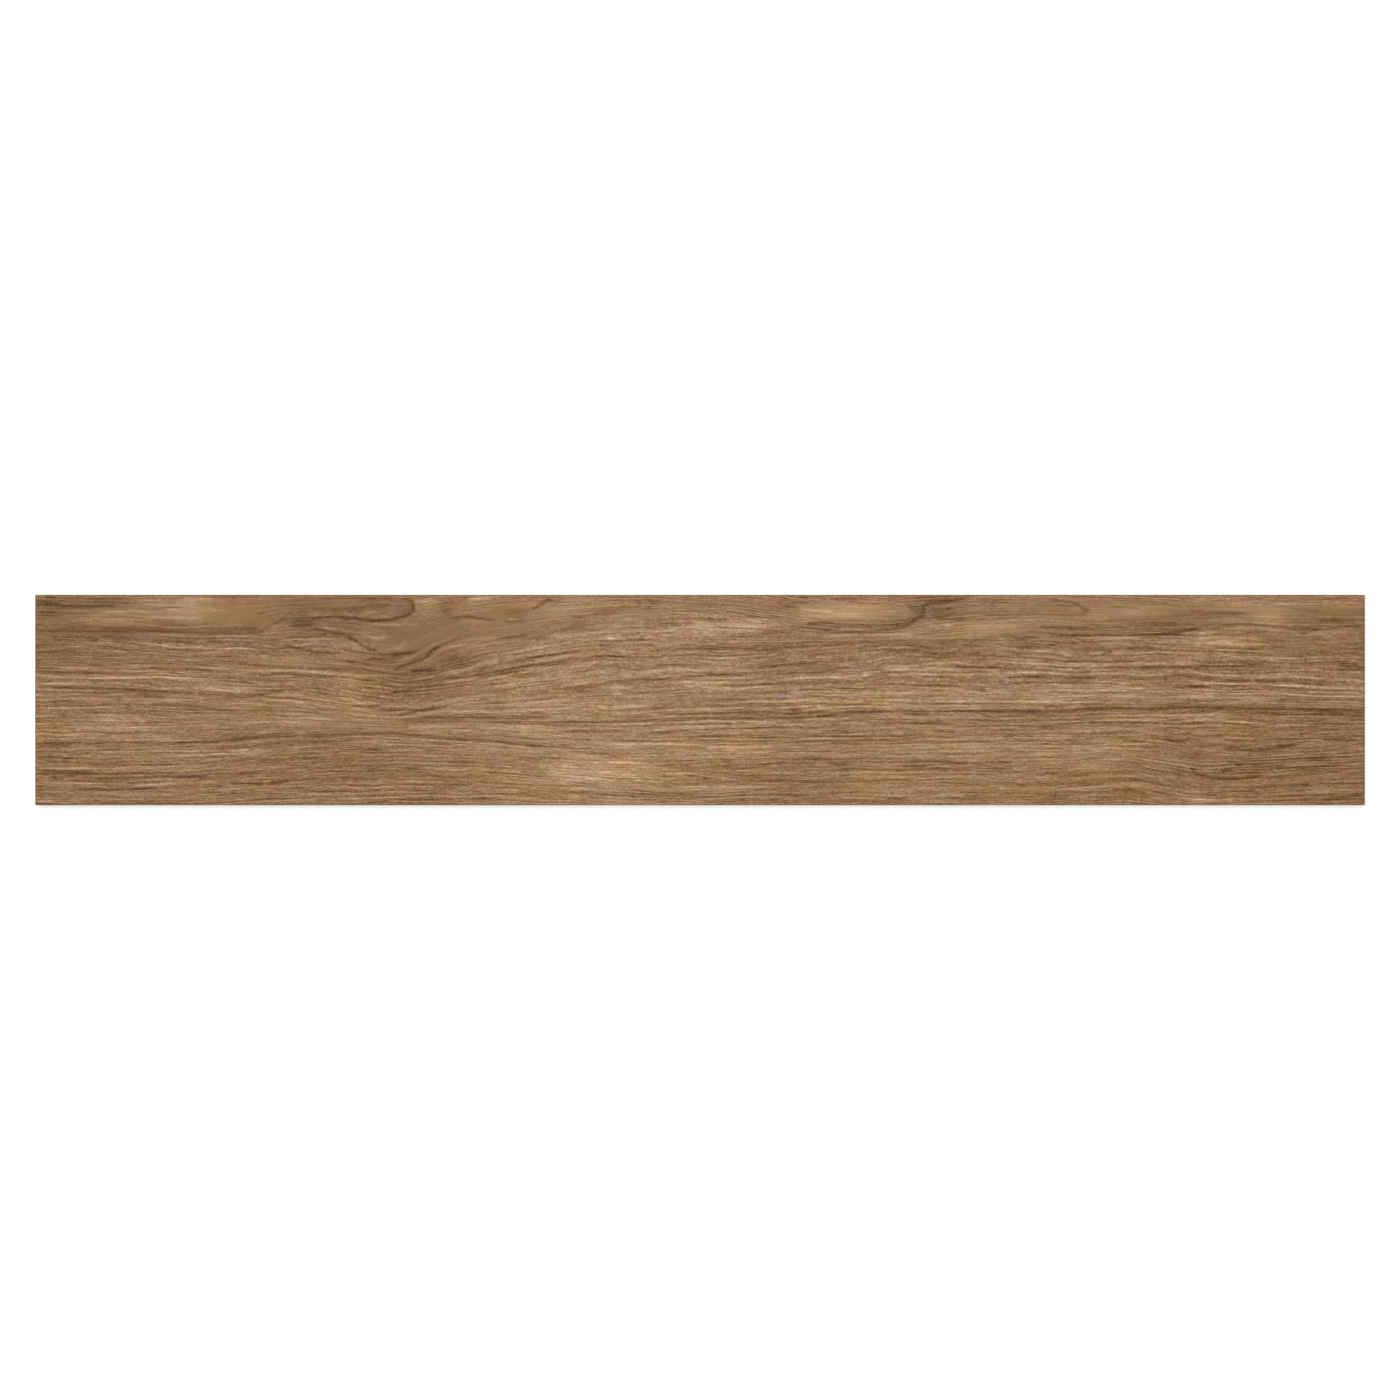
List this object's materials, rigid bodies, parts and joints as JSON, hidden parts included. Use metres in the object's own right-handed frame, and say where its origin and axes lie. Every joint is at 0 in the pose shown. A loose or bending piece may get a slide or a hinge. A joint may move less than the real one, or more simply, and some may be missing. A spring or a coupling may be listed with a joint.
{
  "type": "wood look porcelain plank tile",
  "caption": "Long thin rectangular porcelain floor tile with a matt wood-grain face, finely bevelled ground edges and a keyed back of raised lands for adhesive.",
  "frame": {"origin": "centre of the back, on the plane of its lands, where the tile rests", "axes": "+X along the length and the wood grain, +Y across the width, +Z out of the wear face"},
  "size_m": [1.2, 0.19, 0.01],
  "materials": {
    "porcelain": "matte"
  },
  "bodies": {
    "root": {"plank_tile": "porcelain"}
  },
  "joints": []
}
